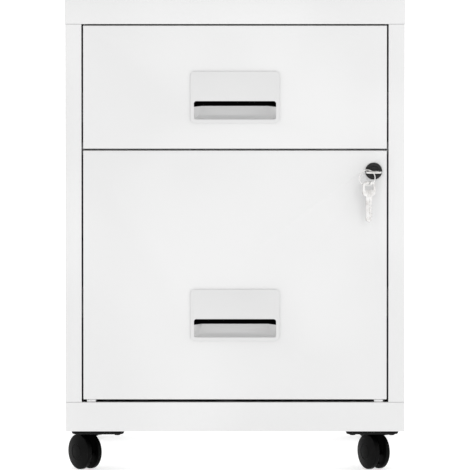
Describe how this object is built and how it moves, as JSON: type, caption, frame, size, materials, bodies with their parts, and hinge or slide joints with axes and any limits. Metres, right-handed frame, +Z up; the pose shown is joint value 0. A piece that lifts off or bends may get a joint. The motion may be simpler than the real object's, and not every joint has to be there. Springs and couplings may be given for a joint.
{
  "type": "mobile filing cabinet",
  "caption": "Mobile filing cabinet in white sheet steel: a shallow and a deep drawer with recessed handles, a lock with its keys, and twin-wheel casters.",
  "frame": {"origin": "on the floor, under the middle of the whole object's box at rest, with the key in the lock", "axes": "+Z up; the drawer fronts face -Y; +X is on the right of a person who stands before the drawers"},
  "size_m": [0.4016, 0.4214, 0.5615],
  "materials": {
    "white_steel": "white powder coat, satin",
    "white_plastic": "moulded, satin",
    "handle_plastic": "moulded, satin light grey",
    "black_plastic": "moulded, matt",
    "wheel_plastic": "moulded nylon, semi-gloss",
    "black_paint": "black electro-coat, semi-gloss",
    "lock_black": "black, satin",
    "slide_steel": "bright zinc, rolled",
    "zinc_plated": "zinc plated",
    "nickel": "nickel plated, lightly worn",
    "nylon": "natural nylon"
  },
  "bodies": {
    "cabinet": {"top_cover": "white_steel", "left_side_panel": "white_steel", "right_side_panel": "white_steel", "back_panel": "white_steel", "base_panel": "white_steel", "front_plinth": "white_steel", "middle_rail": "white_steel", "slide_uprights": "white_steel", "bump_stops": "white_plastic", "slide_screws": "zinc_plated", "upper_left_slide_outer": "slide_steel", "upper_right_slide_outer": "slide_steel", "lower_left_slide_outer": "slide_steel", "lower_right_slide_outer": "slide_steel", "caster_plates": "black_paint", "caster_screws": "black_paint", "caster_king_pins": "zinc_plated"},
    "upper_middle_slides": {"upper_slide_middles": "slide_steel", "upper_ball_cages": "nylon"},
    "lower_middle_slides": {"lower_slide_middles": "slide_steel", "lower_ball_cages": "nylon"},
    "upper_drawer": {"upper_drawer_front": "white_steel", "upper_drawer_tray": "white_steel", "upper_drawer_screws": "zinc_plated", "upper_handle": "handle_plastic", "upper_grip_cup": "black_plastic", "upper_left_slide_inner": "slide_steel", "upper_right_slide_inner": "slide_steel"},
    "lower_drawer": {"lower_drawer_front": "white_steel", "lower_drawer_tray": "white_steel", "lower_drawer_screws": "zinc_plated", "lower_handle": "handle_plastic", "lower_grip_cup": "black_plastic", "lower_left_slide_inner": "slide_steel", "lower_right_slide_inner": "slide_steel", "file_rails": "zinc_plated", "lock_housing": "lock_black", "lock_nut": "zinc_plated"},
    "lock": {"lock_plug": "lock_black", "lock_cam": "zinc_plated", "cam_screw": "zinc_plated"},
    "key": {"key": "nickel"},
    "key_ring": {"key_ring": "nickel"},
    "spare_key": {"spare_key": "nickel"},
    "front_left_caster": {"front_left_caster_hood": "black_plastic", "front_left_caster_axle": "zinc_plated"},
    "front_left_left_wheel": {"front_left_caster_left_wheel": "wheel_plastic"},
    "front_left_right_wheel": {"front_left_caster_right_wheel": "wheel_plastic"},
    "front_right_caster": {"front_right_caster_hood": "black_plastic", "front_right_caster_axle": "zinc_plated"},
    "front_right_left_wheel": {"front_right_caster_left_wheel": "wheel_plastic"},
    "front_right_right_wheel": {"front_right_caster_right_wheel": "wheel_plastic"},
    "rear_left_caster": {"rear_left_caster_hood": "black_plastic", "rear_left_caster_axle": "zinc_plated"},
    "rear_left_left_wheel": {"rear_left_caster_left_wheel": "wheel_plastic"},
    "rear_left_right_wheel": {"rear_left_caster_right_wheel": "wheel_plastic"},
    "rear_right_caster": {"rear_right_caster_hood": "black_plastic", "rear_right_caster_axle": "zinc_plated"},
    "rear_right_left_wheel": {"rear_right_caster_left_wheel": "wheel_plastic"},
    "rear_right_right_wheel": {"rear_right_caster_right_wheel": "wheel_plastic"}
  },
  "joints": [
    {"name": "upper_drawer_slide", "type": "slide", "parent": "cabinet", "child": "upper_drawer", "axis": [0, -1, 0], "range_m": [0, 0.32]},
    {"name": "upper_middle_slide", "type": "slide", "parent": "cabinet", "child": "upper_middle_slides", "axis": [0, -1, 0], "range_m": [0, 0.16]},
    {"name": "lower_drawer_slide", "type": "slide", "parent": "cabinet", "child": "lower_drawer", "axis": [0, -1, 0], "range_m": [0, 0.32]},
    {"name": "lower_middle_slide", "type": "slide", "parent": "cabinet", "child": "lower_middle_slides", "axis": [0, -1, 0], "range_m": [0, 0.16]},
    {"name": "key_turn", "type": "hinge", "parent": "lower_drawer", "child": "lock", "pos_m": [0.1635, -0.19005, 0.359], "axis": [0, -1, 0], "range_deg": [0, 90]},
    {"name": "key_withdraw", "type": "slide", "parent": "lock", "child": "key", "axis": [0, -1, 0], "range_m": [0, 0.033]},
    {"name": "ring_level", "type": "hinge", "parent": "key", "child": "key_ring", "pos_m": [0.15575, -0.204, 0.359], "axis": [0, -1, 0], "range_deg": [-90, 0]},
    {"name": "spare_swing", "type": "hinge", "parent": "key_ring", "child": "spare_key", "pos_m": [0.15575, -0.204, 0.3431], "axis": [1, 0, 0], "range_deg": [-45, 12]},
    {"name": "front_left_swivel", "type": "hinge", "parent": "cabinet", "child": "front_left_caster", "pos_m": [-0.1705, -0.15205, 0.021], "axis": [0, 0, 1], "continuous": true},
    {"name": "front_left_left_wheel_spin", "type": "hinge", "parent": "front_left_caster", "child": "front_left_left_wheel", "pos_m": [-0.17755, -0.14234, 0.021], "axis": [-0.809, -0.5878, 0], "continuous": true},
    {"name": "front_left_right_wheel_spin", "type": "hinge", "parent": "front_left_caster", "child": "front_left_right_wheel", "pos_m": [-0.17755, -0.14234, 0.021], "axis": [-0.809, -0.5878, 0], "continuous": true},
    {"name": "front_right_swivel", "type": "hinge", "parent": "cabinet", "child": "front_right_caster", "pos_m": [0.1705, -0.15205, 0.021], "axis": [0, 0, 1], "continuous": true},
    {"name": "front_right_left_wheel_spin", "type": "hinge", "parent": "front_right_caster", "child": "front_right_left_wheel", "pos_m": [0.16414, -0.14187, 0.021], "axis": [-0.848, -0.5299, 0], "continuous": true},
    {"name": "front_right_right_wheel_spin", "type": "hinge", "parent": "front_right_caster", "child": "front_right_right_wheel", "pos_m": [0.16414, -0.14187, 0.021], "axis": [-0.848, -0.5299, 0], "continuous": true},
    {"name": "rear_left_swivel", "type": "hinge", "parent": "cabinet", "child": "rear_left_caster", "pos_m": [-0.1705, 0.17195, 0.021], "axis": [0, 0, 1], "continuous": true},
    {"name": "rear_left_left_wheel_spin", "type": "hinge", "parent": "rear_left_caster", "child": "rear_left_left_wheel", "pos_m": [-0.17721, 0.1819, 0.021], "axis": [-0.829, -0.5592, 0], "continuous": true},
    {"name": "rear_left_right_wheel_spin", "type": "hinge", "parent": "rear_left_caster", "child": "rear_left_right_wheel", "pos_m": [-0.17721, 0.1819, 0.021], "axis": [-0.829, -0.5592, 0], "continuous": true},
    {"name": "rear_right_swivel", "type": "hinge", "parent": "cabinet", "child": "rear_right_caster", "pos_m": [0.1705, 0.17195, 0.021], "axis": [0, 0, 1], "continuous": true},
    {"name": "rear_right_left_wheel_spin", "type": "hinge", "parent": "rear_right_caster", "child": "rear_right_left_wheel", "pos_m": [0.16328, 0.18153, 0.021], "axis": [-0.7986, -0.6018, 0], "continuous": true},
    {"name": "rear_right_right_wheel_spin", "type": "hinge", "parent": "rear_right_caster", "child": "rear_right_right_wheel", "pos_m": [0.16328, 0.18153, 0.021], "axis": [-0.7986, -0.6018, 0], "continuous": true}
  ],
  "couplings": [
    {"joint": "upper_middle_slide", "follows": "upper_drawer_slide", "ratio": 0.5},
    {"joint": "lower_middle_slide", "follows": "lower_drawer_slide", "ratio": 0.5},
    {"joint": "ring_level", "follows": "key_turn", "ratio": -1}
  ]
}
